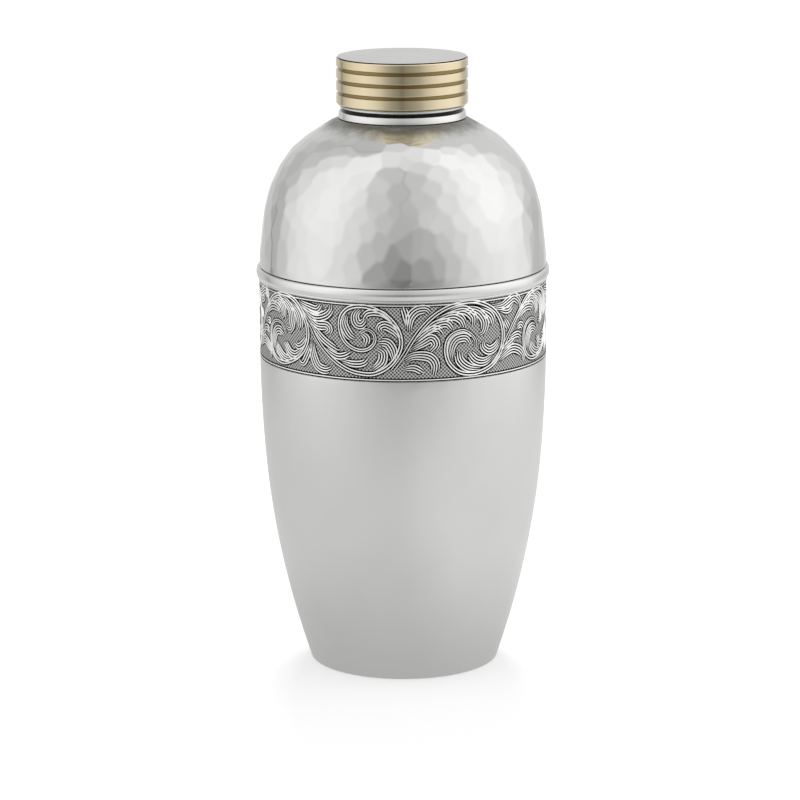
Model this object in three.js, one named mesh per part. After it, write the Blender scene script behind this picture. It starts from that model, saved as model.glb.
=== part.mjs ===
// Hammered pewter cocktail shaker: a tapering cup, a domed lid with a strainer
// in its neck, and a pewter cap with a ribbed brass sleeve.
// Millimetres, +Z up. The origin is the centre of the face that the cup stands on.

import * as THREE from 'three';

// ---- Driving dimensions -------------------------------------------------

const FACETS_ROUND = 48;

// Heights of the joints between the three loose parts
const RIM_Z = 155.3;
const CAP_LIP_Z = 216.0;
const TOP_Z = 235.2;
const SEAM_GAP = 0.3;

// Cup: spun wall, leaning outwards from the foot
const FOOT_R = 36.24;
const FOOT_LEAN_DEG = 17.44;
const FOOT_EDGE_R = 1.2;
const FOOT_STRAIGHT = 9.6;
const CUP_ARCS = [[334, 12.62], [498, 4.82]];
const CUP_STEPS = [5, 2];
const CUP_WALL = 1.5;
const CUP_FLOOR = 2.2;
const CUP_FLOOR_FILLET = 6.0;
const RIM_R = 54.95;

// Engraved band, let into a shallow seat turned round the cup
const BAND_BOTTOM_Z = 120.5;
const BAND_TOP_Z = 150.0;
const BAND_R = 55.2;
const BAND_THICKNESS = 0.55;
const SEAT_R = BAND_R - BAND_THICKNESS - SEAM_GAP;

// Half-round bead under the rim
const BEAD_BOTTOM_Z = 150.35;
const BEAD_R = 56.2;
const BEAD_CREST = 0.62;

// Dome: spun and hammered lid
const DOME_Z = RIM_Z + SEAM_GAP;
const DOME_R = 54.95;
const DOME_LEAN_DEG = -1.82;
const DOME_ARCS = [[151.4, 7.93], [50.2, 21.25], [37.65, 29.4]];
const DOME_WALL = 1.3;
const DOME_TOP_R = 24.6;
const DOME_STEPS = [2, 4, 6];

// Locating skirt inside the dome's lower edge
const SKIRT_R = 53.05;
const SKIRT_WALL = 1.1;
const SKIRT_DEPTH = 8.0;
const SKIRT_TOP_Z = 160.0;

// Neck, its collar and its strainer
const NECK_R = 22.0;
const NECK_WALL = 1.2;
const NECK_BOTTOM_Z = 209.3;
const NECK_TOP_Z = 227.5;
const NECK_LIP = 0.5;
const COLLAR_BOTTOM_R = 24.45;
const COLLAR_TOP_R = 24.0;
const COLLAR_TOP_Z = 214.65;
const COLLAR_EDGE = 0.4;
const CAP_SEAT_R = 23.2;
const STRAINER_Z = 210.6;
const STRAINER_THICKNESS = 1.2;
const STRAINER_HOLE_R = 2.0;
const STRAINER_RING_STEP = 6.6;
const STRAINER_RINGS = 2;
const HOLE_FACETS = 10;

// Cap: pewter cup inside a ribbed brass sleeve
const CAP_WALL = 1.2;
const CAP_BORE_R = NECK_R + SEAM_GAP;
const CAP_CEILING_Z = 233.9;
const CAP_FLANGE_R = 24.45;
const CAP_FLANGE_Z = 234.4;
const CAP_EDGE_R = 0.4;
const CAP_LIP_R = 23.75;
const CAP_LIP_HEIGHT = 0.7;
const SLEEVE_R = 25.05;
const SLEEVE_BOTTOM_Z = 217.0;
const SLEEVE_TOP_Z = 234.75;
const SLEEVE_REBATE_Z = 234.1;
const SLEEVE_FOOT_CHAMFER = 0.7;
const SLEEVE_EDGE = 0.2;
const GROOVE_FIRST_Z = 221.9;
const GROOVE_PITCH = 4.55;
const GROOVE_COUNT = 3;
const GROOVE_HALF = 0.5;
const GROOVE_DEPTH = 0.6;
const GROOVE_CHAMFER = 0.25;

// ---- Finishes -----------------------------------------------------------

const satinPewter = { color: 0xc9c9c7, roughness: 0.38, metalness: 1.0 };
const brightPewter = { color: 0xd2d2d0, roughness: 0.2, metalness: 1.0 };
const darkenedPewter = { color: 0x8d8e8c, roughness: 0.5, metalness: 1.0 };
const polishedBrass = { color: 0xc9b27a, roughness: 0.22, metalness: 1.0 };

// ---- Profile helpers ----------------------------------------------------

const radians = THREE.MathUtils.degToRad;

function point(r, z) {
  return new THREE.Vector2(r, z);
}

// Follows a wall upwards from one point: each arc turns it further inwards
// by its sweep. leanDeg is how far the wall leans outwards from vertical.
function arcChain(start, leanDeg, arcs, steps) {
  const points = [start.clone()];
  let lean = radians(leanDeg);
  let here = start.clone();
  arcs.forEach(([radius, sweepDeg], index) => {
    const turn = radians(sweepDeg) / steps[index];
    const chord = 2 * radius * Math.sin(turn / 2);
    for (let i = 0; i < steps[index]; i += 1) {
      const heading = lean - turn / 2;
      here = point(here.x + chord * Math.sin(heading), here.y + chord * Math.cos(heading));
      points.push(here);
      lean -= turn;
    }
  });
  return points;
}

// The same wall on its inner side, with every arc's radius less the thickness.
function innerStart(outer, leanDeg, thickness) {
  const lean = radians(leanDeg);
  return point(outer.x - thickness * Math.cos(lean), outer.y + thickness * Math.sin(lean));
}

function thinned(arcs, thickness) {
  return arcs.map(([radius, sweepDeg]) => [radius - thickness, sweepDeg]);
}

// Point on a polyline at a height, so that a wall can end where it meets another part.
function pointAtHeight(points, z) {
  const i = points.findIndex((p) => p.y >= z);
  const low = points[i - 1];
  const high = points[i];
  const t = (z - low.y) / (high.y - low.y);
  return point(low.x + t * (high.x - low.x), z);
}

// Rounded corner as a polyline, from one angle to another about a centre.
function cornerArc(centreR, centreZ, radius, fromDeg, toDeg, steps) {
  const points = [];
  for (let i = 0; i <= steps; i += 1) {
    const angle = radians(fromDeg + ((toDeg - fromDeg) * i) / steps);
    points.push(point(centreR + radius * Math.cos(angle), centreZ + radius * Math.sin(angle)));
  }
  return points;
}

// Revolves a profile about +Z. A profile starts and ends on the axis, or is a ring.
function revolve(points) {
  const geometry = new THREE.LatheGeometry(points, FACETS_ROUND);
  geometry.rotateX(Math.PI / 2);
  return geometry;
}

function revolveRing(points) {
  return revolve([...points, points[0].clone()]);
}

function addMesh(group, name, geometry, finish) {
  const mesh = new THREE.Mesh(geometry, new THREE.MeshStandardMaterial(finish));
  mesh.name = name;
  group.add(mesh);
  return mesh;
}

// ---- Cup ----------------------------------------------------------------

function cupWall(thickness) {
  const foot = point(FOOT_R, 0);
  const start = thickness > 0 ? innerStart(foot, FOOT_LEAN_DEG, thickness) : foot;
  const lean = radians(FOOT_LEAN_DEG);
  const straight = point(FOOT_STRAIGHT * Math.sin(lean), FOOT_STRAIGHT * Math.cos(lean));
  const arcStart = start.clone().add(straight);
  return [start, ...arcChain(arcStart, FOOT_LEAN_DEG, thinned(CUP_ARCS, thickness), CUP_STEPS)];
}

function cupShell() {
  const outer = cupWall(0);
  const inner = cupWall(CUP_WALL);
  const footEdge = FOOT_EDGE_R * Math.tan(radians(90 - FOOT_LEAN_DEG) / 2);
  const footCentreR = FOOT_R - footEdge;
  const seatBottom = pointAtHeight(outer, BAND_BOTTOM_Z - SEAM_GAP);
  const floorCorner = pointAtHeight(inner, CUP_FLOOR);
  const filletFoot = floorCorner.x - CUP_FLOOR_FILLET * Math.tan(radians(90 - FOOT_LEAN_DEG) / 2);
  const filletCentreZ = CUP_FLOOR + CUP_FLOOR_FILLET;
  const innerRimR = RIM_R - CUP_WALL;
  const profile = [
    point(0, 0),
    ...cornerArc(footCentreR, FOOT_EDGE_R, FOOT_EDGE_R, -90, -FOOT_LEAN_DEG, 3),
    ...outer.slice(1).filter((p) => p.y < seatBottom.y),
    seatBottom,
    point(SEAT_R, seatBottom.y),
    point(SEAT_R, BAND_TOP_Z + SEAM_GAP),
    point(RIM_R, BAND_TOP_Z + SEAM_GAP),
    point(RIM_R, RIM_Z),
    point(innerRimR, RIM_Z),
    ...inner.slice(1).filter((p) => p.y > filletCentreZ && p.x < innerRimR).reverse(),
    ...cornerArc(filletFoot, filletCentreZ, CUP_FLOOR_FILLET, -FOOT_LEAN_DEG, -90, 3),
    point(0, CUP_FLOOR),
  ];
  return revolve(profile);
}

function engravedBand() {
  return revolveRing([
    point(BAND_R - BAND_THICKNESS, BAND_BOTTOM_Z),
    point(BAND_R, BAND_BOTTOM_Z),
    point(BAND_R, BAND_TOP_Z),
    point(BAND_R - BAND_THICKNESS, BAND_TOP_Z),
  ]);
}

function rimBead() {
  const innerR = RIM_R + SEAM_GAP;
  const half = (RIM_Z - BEAD_BOTTOM_Z) / 2;
  const middleZ = BEAD_BOTTOM_Z + half;
  const crest = half * BEAD_CREST;
  const shoulderR = innerR + (BEAD_R - innerR) * BEAD_CREST;
  return revolveRing([
    point(innerR, BEAD_BOTTOM_Z),
    point(shoulderR, BEAD_BOTTOM_Z),
    point(BEAD_R, middleZ - crest),
    point(BEAD_R, middleZ + crest),
    point(shoulderR, RIM_Z),
    point(innerR, RIM_Z),
  ]);
}

// ---- Dome, neck and strainer --------------------------------------------

// The crown runs on straight from the last arc to the foot of the neck.
function domeWall(thickness) {
  const edge = point(DOME_R, DOME_Z);
  const start = thickness > 0 ? innerStart(edge, DOME_LEAN_DEG, thickness) : edge;
  const points = arcChain(start, DOME_LEAN_DEG, thinned(DOME_ARCS, thickness), DOME_STEPS);
  const lastLean = DOME_LEAN_DEG - DOME_ARCS.reduce((sum, arc) => sum + arc[1], 0);
  const last = points[points.length - 1];
  const endR = thickness > 0 ? NECK_R + SEAM_GAP : DOME_TOP_R;
  const rise = (endR - last.x) / Math.tan(radians(lastLean));
  return [...points, point(endR, last.y + rise)];
}

function domeShell() {
  const outer = domeWall(0);
  const inner = domeWall(DOME_WALL);
  const top = outer[outer.length - 1];
  const innerFoot = point(inner[0].x, DOME_Z);
  return revolveRing([
    innerFoot,
    ...outer,
    point(NECK_R + SEAM_GAP, top.y),
    ...inner.slice(1).reverse(),
  ]);
}

function domeTopZ() {
  const outer = domeWall(0);
  return outer[outer.length - 1].y;
}

function domeSkirt() {
  return revolveRing([
    point(SKIRT_R - SKIRT_WALL, RIM_Z - SKIRT_DEPTH),
    point(SKIRT_R, RIM_Z - SKIRT_DEPTH),
    point(SKIRT_R, SKIRT_TOP_Z),
    point(SKIRT_R - SKIRT_WALL, SKIRT_TOP_Z),
  ]);
}

function neckTube() {
  return revolveRing([
    point(NECK_R - NECK_WALL, NECK_BOTTOM_Z),
    point(NECK_R, NECK_BOTTOM_Z),
    point(NECK_R, NECK_TOP_Z - NECK_LIP),
    point(NECK_R - NECK_LIP, NECK_TOP_Z),
    point(NECK_R - NECK_WALL, NECK_TOP_Z),
  ]);
}

// The cap's lip rests on the narrow step at the top of the collar.
function neckCollar() {
  const bottomZ = domeTopZ() + SEAM_GAP;
  const seatZ = CAP_LIP_Z - SEAM_GAP;
  return revolveRing([
    point(NECK_R + SEAM_GAP, bottomZ),
    point(COLLAR_BOTTOM_R, bottomZ),
    point(COLLAR_TOP_R, COLLAR_TOP_Z - COLLAR_EDGE),
    point(COLLAR_TOP_R - COLLAR_EDGE, COLLAR_TOP_Z),
    point(CAP_SEAT_R, COLLAR_TOP_Z),
    point(CAP_SEAT_R, seatZ),
    point(NECK_R + SEAM_GAP, seatZ),
  ]);
}

// One hole in the middle, then rings of six, twelve and so on.
function strainerPlate() {
  const plate = new THREE.Shape();
  plate.absarc(0, 0, NECK_R - NECK_WALL - SEAM_GAP, 0, Math.PI * 2, false);
  const disc = new THREE.Shape(plate.getPoints(FACETS_ROUND).slice(0, -1));
  const addHole = (x, y) => {
    const hole = new THREE.Path();
    for (let i = 0; i < HOLE_FACETS; i += 1) {
      const angle = (-2 * Math.PI * i) / HOLE_FACETS;
      const px = x + STRAINER_HOLE_R * Math.cos(angle);
      const py = y + STRAINER_HOLE_R * Math.sin(angle);
      if (i === 0) hole.moveTo(px, py);
      else hole.lineTo(px, py);
    }
    hole.closePath();
    disc.holes.push(hole);
  };
  addHole(0, 0);
  for (let ring = 1; ring <= STRAINER_RINGS; ring += 1) {
    const count = 6 * ring;
    for (let i = 0; i < count; i += 1) {
      const angle = (2 * Math.PI * i) / count;
      addHole(ring * STRAINER_RING_STEP * Math.cos(angle), ring * STRAINER_RING_STEP * Math.sin(angle));
    }
  }
  const geometry = new THREE.ExtrudeGeometry(disc, { depth: STRAINER_THICKNESS, bevelEnabled: false });
  geometry.translate(0, 0, STRAINER_Z);
  return geometry;
}

// ---- Cap ----------------------------------------------------------------

function capCup() {
  const wallR = CAP_BORE_R + CAP_WALL;
  return revolve([
    point(0, CAP_CEILING_Z),
    point(CAP_BORE_R, CAP_CEILING_Z),
    point(CAP_BORE_R, CAP_LIP_Z),
    point(CAP_LIP_R, CAP_LIP_Z),
    point(CAP_LIP_R, CAP_LIP_Z + CAP_LIP_HEIGHT),
    point(wallR, CAP_LIP_Z + CAP_LIP_HEIGHT),
    point(wallR, CAP_FLANGE_Z),
    point(CAP_FLANGE_R, CAP_FLANGE_Z),
    ...cornerArc(CAP_FLANGE_R - CAP_EDGE_R, TOP_Z - CAP_EDGE_R, CAP_EDGE_R, 0, 90, 3),
    point(0, TOP_Z),
  ]);
}

function grooveProfile(z) {
  const outerHalf = GROOVE_HALF + GROOVE_CHAMFER;
  return [
    point(SLEEVE_R, z - outerHalf),
    point(SLEEVE_R - GROOVE_CHAMFER, z - GROOVE_HALF),
    point(SLEEVE_R - GROOVE_DEPTH, z - GROOVE_HALF),
    point(SLEEVE_R - GROOVE_DEPTH, z + GROOVE_HALF),
    point(SLEEVE_R - GROOVE_CHAMFER, z + GROOVE_HALF),
    point(SLEEVE_R, z + outerHalf),
  ];
}

function capSleeve() {
  const boreR = CAP_BORE_R + CAP_WALL + SEAM_GAP;
  const rebateR = CAP_FLANGE_R + SEAM_GAP;
  const grooves = [];
  for (let i = 0; i < GROOVE_COUNT; i += 1) {
    grooves.push(...grooveProfile(GROOVE_FIRST_Z + i * GROOVE_PITCH));
  }
  return revolveRing([
    point(boreR, SLEEVE_BOTTOM_Z),
    point(SLEEVE_R - SLEEVE_FOOT_CHAMFER, SLEEVE_BOTTOM_Z),
    point(SLEEVE_R, SLEEVE_BOTTOM_Z + SLEEVE_FOOT_CHAMFER),
    ...grooves,
    point(SLEEVE_R, SLEEVE_TOP_Z - SLEEVE_EDGE),
    point(SLEEVE_R - SLEEVE_EDGE / 2, SLEEVE_TOP_Z),
    point(rebateR, SLEEVE_TOP_Z),
    point(rebateR, SLEEVE_REBATE_Z),
    point(boreR, SLEEVE_REBATE_Z),
  ]);
}

// ---- Assembly -----------------------------------------------------------

const shaker = new THREE.Group();

const cup = new THREE.Group();
addMesh(cup, 'cup_shell', cupShell(), satinPewter);
addMesh(cup, 'engraved_band', engravedBand(), darkenedPewter);
addMesh(cup, 'rim_bead', rimBead(), brightPewter);
shaker.add(cup);

const dome = new THREE.Group();
addMesh(dome, 'dome_shell', domeShell(), brightPewter);
addMesh(dome, 'dome_skirt', domeSkirt(), satinPewter);
addMesh(dome, 'neck_tube', neckTube(), satinPewter);
addMesh(dome, 'neck_collar', neckCollar(), brightPewter);
addMesh(dome, 'strainer_plate', strainerPlate(), satinPewter);
shaker.add(dome);

const cap = new THREE.Group();
addMesh(cap, 'cap_cup', capCup(), satinPewter);
addMesh(cap, 'cap_sleeve', capSleeve(), polishedBrass);
shaker.add(cap);

export default shaker;
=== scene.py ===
"""Looks of a hammered pewter cocktail shaker: cup, dome with a strainer, and brass-sleeved cap.

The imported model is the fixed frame. Sizes below are in millimetres and become metres in the meshes.
+Z runs up the shaker's axis and the origin is the centre of the face that the cup stands on.
"""

import logging
import math
from collections.abc import Iterable, Mapping, Sequence
from dataclasses import dataclass, field
from enum import Enum

import bmesh
import bpy
from mathutils import Matrix, Vector


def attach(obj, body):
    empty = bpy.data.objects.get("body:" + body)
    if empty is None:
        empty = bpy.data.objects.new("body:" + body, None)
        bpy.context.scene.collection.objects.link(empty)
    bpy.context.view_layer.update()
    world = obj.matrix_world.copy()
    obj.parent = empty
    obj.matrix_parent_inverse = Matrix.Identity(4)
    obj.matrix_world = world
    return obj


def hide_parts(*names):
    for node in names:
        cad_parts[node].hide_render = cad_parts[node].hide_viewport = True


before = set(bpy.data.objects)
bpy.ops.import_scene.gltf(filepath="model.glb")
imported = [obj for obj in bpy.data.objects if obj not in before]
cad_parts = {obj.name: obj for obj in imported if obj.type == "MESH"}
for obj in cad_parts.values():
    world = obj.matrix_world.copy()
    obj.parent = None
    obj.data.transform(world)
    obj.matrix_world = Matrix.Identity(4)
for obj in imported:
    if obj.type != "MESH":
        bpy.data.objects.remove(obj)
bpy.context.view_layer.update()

MM = 0.001
ON_AXIS = 1e-6
SOFT = {"interpolation_type": "SMOOTHSTEP"}
log = logging.getLogger("shaker")

Point = tuple[float, float]
Feed = object


class Body(Enum):
    """The loose parts that a piece can ride on."""

    CUP = "cup"
    DOME = "dome"
    CAP = "cap"


class Slot(Enum):
    """The record's material slots."""

    SATIN = "satin_pewter"
    BRIGHT = "bright_pewter"
    DARKENED = "darkened_pewter"
    BRASS = "polished_brass"


class Grain(Enum):
    """Which way the marks of making run, as how far a pattern is drawn out along the axis.

    AROUND is a part turned in a lathe: fine rings. EVERY_WAY is a part rubbed by hand.
    """

    AROUND = 24.0
    EVERY_WAY = 1.0


# ---- Node trees ---------------------------------------------------------------------------


def linear(hex_colour: str) -> tuple[float, float, float, float]:
    """Turns an sRGB hex colour to the linear values that shaders use.

    Args:
        hex_colour: six hex digits, such as "c9c9c7".

    Returns:
        Red, green, blue and an alpha of one.
    """
    parts = [int(hex_colour[i : i + 2], 16) / 255 for i in (0, 2, 4)]
    red, green, blue = (c / 12.92 if c <= 0.04045 else ((c + 0.055) / 1.055) ** 2.4 for c in parts)
    return red, green, blue, 1.0


@dataclass
class Graph:
    """A node tree that is being built."""

    tree: bpy.types.NodeTree

    def add(
        self,
        kind: str,
        *feeds: Feed,
        out: int = 0,
        named: Mapping[str, Feed] | None = None,
        **settings: object,
    ) -> bpy.types.NodeSocket:
        """Adds one node with its settings and what feeds it.

        Args:
            kind: the node's type name.
            feeds: a value or a socket for each shown input in order; None leaves one as it is.
            out: which shown output to hand back.
            named: values or sockets for inputs picked by name.
            settings: the node's own properties.

        Returns:
            The chosen output socket.
        """
        node = self.tree.nodes.new(kind)
        for name, value in settings.items():
            setattr(node, name, value)
        shown = [socket for socket in node.inputs if socket.enabled]
        pairs = list(zip(shown, feeds))
        pairs += [(node.inputs[name], feed) for name, feed in (named or {}).items()]
        for socket, feed in pairs:
            if isinstance(feed, bpy.types.NodeSocket):
                self.tree.links.new(feed, socket)
            elif feed is not None:
                socket.default_value = feed
        outputs = [socket for socket in node.outputs if socket.enabled]
        return outputs[out] if outputs else None


class Recipe(Graph):
    """A Geometry Nodes tree with named inputs, run once on a host object to give a plain mesh."""

    def __init__(self, name: str, values: Mapping[str, object]) -> None:
        """Starts a tree.

        Args:
            name: the tree's name.
            values: each input's label and value; the value's type picks the kind of socket.
        """
        super().__init__(bpy.data.node_groups.new(name, "GeometryNodeTree"))
        self.values = values
        face = self.tree.interface
        face.new_socket("Shape", in_out="INPUT", socket_type="NodeSocketGeometry")
        for label, value in values.items():
            face.new_socket(
                label, in_out="INPUT", socket_type="NodeSocket" + type(value).__name__.title()
            )
        face.new_socket("Shape", in_out="OUTPUT", socket_type="NodeSocketGeometry")
        self.start = self.tree.nodes.new("NodeGroupInput")
        self.end = self.tree.nodes.new("NodeGroupOutput")

    def given(self, label: str) -> bpy.types.NodeSocket:
        """Gives the socket of a named input."""
        return self.start.outputs[label]

    def close(self, shape: bpy.types.NodeSocket) -> None:
        """Ends the tree in Realize Instances and Set Material.

        Args:
            shape: the finished geometry.
        """
        real = self.add("GeometryNodeRealizeInstances", shape)
        dressed = self.add("GeometryNodeSetMaterial", real, None, self.given("Finish"))
        self.tree.links.new(dressed, self.end.inputs["Shape"])

    def run(self, name: str, host: bpy.types.Object) -> bpy.types.Object:
        """Runs the tree on a host and keeps the result as a plain mesh.

        Args:
            name: the new piece's name.
            host: the mesh or curve that the tree starts from; it is removed.

        Returns:
            The new piece.
        """
        modifier = host.modifiers.new(self.tree.name, "NODES")
        modifier.node_group = self.tree
        for item in self.tree.interface.items_tree:
            if item.in_out == "INPUT" and item.name in self.values:
                modifier[item.identifier] = self.values[item.name]
        host.update_tag()
        graph = bpy.context.evaluated_depsgraph_get()
        graph.update()
        mesh = bpy.data.meshes.new_from_object(
            host.evaluated_get(graph), preserve_all_data_layers=True, depsgraph=graph
        )
        host.modifiers.clear()
        bpy.data.objects.remove(host)
        mesh.name = name
        mesh.materials.clear()
        mesh.materials.append(self.values["Finish"])
        mesh.polygons.foreach_set("material_index", [0] * len(mesh.polygons))
        return placed(name, mesh)


# ---- Turned shapes ------------------------------------------------------------------------


@dataclass(frozen=True)
class Knot:
    """A corner of a section: radius, height, its own rounding, and how far the hammer worked it."""

    r: float
    z: float
    rounding: float = 0.0
    worked: float = 0.0


def placed(name: str, data: bpy.types.ID) -> bpy.types.Object:
    """Makes an object at the origin and puts it in the scene."""
    piece = bpy.data.objects.new(name, data)
    bpy.context.scene.collection.objects.link(piece)
    return piece


def ease(value: float) -> float:
    """Smooth step from 0 to 1."""
    t = min(max(value, 0.0), 1.0)
    return t * t * (3 - 2 * t)


def arc_chain(start: Point, lean_deg: float, arcs: Iterable[Point], step: float) -> list[Point]:
    """Follows a wall upwards, each arc turning it further inwards.

    Args:
        start: radius and height where the first arc begins.
        lean_deg: how far the wall leans outwards there.
        arcs: each arc's radius and sweep in degrees.
        step: longest chord.

    Returns:
        The points along the wall, the start included.
    """
    points = [start]
    lean = math.radians(lean_deg)
    r, z = start
    for radius, sweep in arcs:
        count = math.ceil(radius * math.radians(sweep) / step)
        turn = math.radians(sweep) / count
        chord = 2 * radius * math.sin(turn / 2)
        for _ in range(count):
            heading = lean - turn / 2
            r, z = r + chord * math.sin(heading), z + chord * math.cos(heading)
            points.append((r, z))
            lean -= turn
    return points


def straight(start: Point, end: Point, step: float) -> list[Point]:
    """Points between two ends, both left out, no further apart than a step."""
    length = math.dist(start, end)
    count = max(1, math.ceil(length / step))
    return [
        (start[0] + (end[0] - start[0]) * i / count, start[1] + (end[1] - start[1]) * i / count)
        for i in range(1, count)
    ]


def rounded(knots: Sequence[Knot], closed: bool, steps: int = 4) -> list[Knot]:
    """Replaces every corner that has a rounding by an arc.

    Args:
        knots: the section's corners.
        closed: whether the section is a ring rather than an open line from axis to axis.
        steps: chords for each arc.

    Returns:
        The section with its corners rounded.
    """
    result: list[Knot] = []
    count = len(knots)
    for i, knot in enumerate(knots):
        inside = closed or 0 < i < count - 1
        if not (inside and knot.rounding > 0):
            result.append(knot)
            continue
        here = Vector((knot.r, knot.z))
        before = Vector((knots[i - 1].r, knots[i - 1].z)) - here
        after = Vector((knots[(i + 1) % count].r, knots[(i + 1) % count].z)) - here
        half = before.angle(after) / 2
        cut = min(knot.rounding / math.tan(half), 0.49 * before.length, 0.49 * after.length)
        radius = cut * math.tan(half)
        centre = here + (before.normalized() + after.normalized()).normalized() * (
            radius / math.sin(half)
        )
        spoke = here + before.normalized() * cut - centre
        sweep = spoke.angle_signed(here + after.normalized() * cut - centre)
        for k in range(steps + 1):
            turned = Matrix.Rotation(-sweep * k / steps, 2) @ spoke
            result.append(Knot(centre.x + turned.x, centre.y + turned.y, 0.0, knot.worked))
    return result


@dataclass
class Lathe:
    """Turns sections about the Z axis."""

    segments: int = 240
    sharp_deg: float = 40.0

    def turn(self, name: str, knots: Sequence[Knot], closed: bool = True) -> bpy.types.Object:
        """Spins a section to a smooth shaded piece with closed poles.

        Args:
            name: the piece's name.
            knots: the section's corners, in order.
            closed: False for a line that starts and ends on the axis.

        Returns:
            The piece, with a point attribute "worked" that says where the hammer fell.
        """
        section = rounded(knots, closed)
        around = [2 * math.pi * k / self.segments for k in range(self.segments)]
        points: list[tuple[float, float, float]] = []
        worked: list[float] = []
        rings: list[list[int]] = []
        for knot in section:
            spokes = around if knot.r > ON_AXIS else [0.0]
            rings.append(list(range(len(points), len(points) + len(spokes))))
            points += [
                (knot.r * math.cos(a) * MM, knot.r * math.sin(a) * MM, knot.z * MM) for a in spokes
            ]
            worked += [knot.worked] * len(spokes)
        faces = []
        pairs = list(zip(rings, rings[1:])) + ([(rings[-1], rings[0])] if closed else [])
        for low, high in pairs:
            for k in range(self.segments):
                n = (k + 1) % self.segments
                corners = [
                    low[k % len(low)], low[n % len(low)], high[n % len(high)], high[k % len(high)]
                ]
                faces.append(list(dict.fromkeys(corners)))
        mesh = bpy.data.meshes.new(name)
        mesh.from_pydata(points, [], faces)
        mark = mesh.attributes.new("worked", "FLOAT", "POINT")
        mark.data.foreach_set("value", worked)
        face_outwards(mesh, math.radians(self.sharp_deg))
        return placed(name, mesh)


def face_outwards(mesh: bpy.types.Mesh, sharp: float) -> None:
    """Points every face outwards, shades it smooth and marks the sharp edges.

    Args:
        mesh: the mesh to set right.
        sharp: the angle in radians past which an edge stays crisp.
    """
    work = bmesh.new()
    work.from_mesh(mesh)
    bmesh.ops.recalc_face_normals(work, faces=work.faces)
    for face in work.faces:
        face.smooth = True
    for edge in work.edges:
        edge.smooth = not (edge.is_manifold and edge.calc_face_angle(0.0) > sharp)
    work.to_mesh(mesh)
    work.free()


# ---- Finishes -----------------------------------------------------------------------------


@dataclass(frozen=True)
class TurnedMetal:
    """A plain metal finish: polished or satin, with the fine marks that turning or rubbing left."""

    name: str
    bright: str
    dull: str
    roughness: float
    unevenness: float
    grain: Grain
    grain_mm: float
    grain_depth_mm: float
    blotch_mm: float = 30.0
    # painted shade: a darker colour laid on inside a given radius, its edge made to wander by noise
    hollow: str = ""
    hollow_r: Point = (0.0, 0.0)
    hollow_wander: float = 0.0
    hollow_roughness: float = 0.0
    stain_mm: float = 4.0

    def make(self) -> bpy.types.Material:
        """Builds the material.

        Returns:
            A metal whose colour drifts between bright and dull in soft blotches, and whose
            roughness and height follow the fine marks. Inside its painted-shade radius its colour is
            darkened with painted shade.
        """
        if self.name in bpy.data.materials:
            return bpy.data.materials[self.name]
        material = bpy.data.materials.new(self.name)
        material.use_nodes = True
        material.node_tree.nodes.clear()
        g = Graph(material.node_tree)
        place = g.add("ShaderNodeTexCoord", out=3)
        drawn = g.add("ShaderNodeMapping", place, None, None, (1.0, 1.0, self.grain.value))
        marks = g.add(
            "ShaderNodeTexNoise", drawn, 1 / (self.grain_mm * MM * self.grain.value), 3.0, 0.6
        )
        blotches = g.add("ShaderNodeTexNoise", place, 1 / (self.blotch_mm * MM), 2.0, 0.5)
        fade = g.add("ShaderNodeMapRange", blotches, 0.35, 0.7, 0.0, 1.0, **SOFT)
        colour = g.add(
            "ShaderNodeMix", fade, linear(self.bright), linear(self.dull), data_type="RGBA",
            clamp_factor=True
        )
        low, high = self.roughness - self.unevenness, self.roughness + self.unevenness
        both = g.add("ShaderNodeMath", marks, blotches, operation="ADD")
        roughness = g.add("ShaderNodeMapRange", both, 0.6, 1.4, low, high)
        # painted shade: inside the radius the colour turns to the dark colour and the roughness rises
        if self.hollow:
            flat = g.add("ShaderNodeVectorMath", place, (1.0, 1.0, 0.0), operation="MULTIPLY")
            radius = g.add("ShaderNodeVectorMath", flat, operation="LENGTH")
            shade_edge_noise = g.add("ShaderNodeTexNoise", place, 1 / (self.stain_mm * MM), 3.0, 0.6)
            wander = self.hollow_wander * MM
            off = g.add("ShaderNodeMath", shade_edge_noise, wander, -wander / 2, operation="MULTIPLY_ADD")
            radius = g.add("ShaderNodeMath", radius, off, operation="ADD")
            ends = (self.hollow_r[0] * MM, self.hollow_r[1] * MM)
            clear = g.add("ShaderNodeMapRange", radius, *ends, 0.0, 1.0, **SOFT)
            colour = g.add("ShaderNodeMix", clear, linear(self.hollow), colour, data_type="RGBA")
            rougher = max(self.hollow_roughness, self.roughness)
            roughness = g.add("ShaderNodeMix", clear, rougher, roughness, data_type="FLOAT")
        bump = g.add("ShaderNodeBump", 1.0, self.grain_depth_mm * MM, None, marks)
        shader = g.add(
            "ShaderNodeBsdfPrincipled",
            named={"Base Color": colour, "Metallic": 1.0, "Roughness": roughness, "Normal": bump},
        )
        g.add("ShaderNodeOutputMaterial", shader)
        return material


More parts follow.
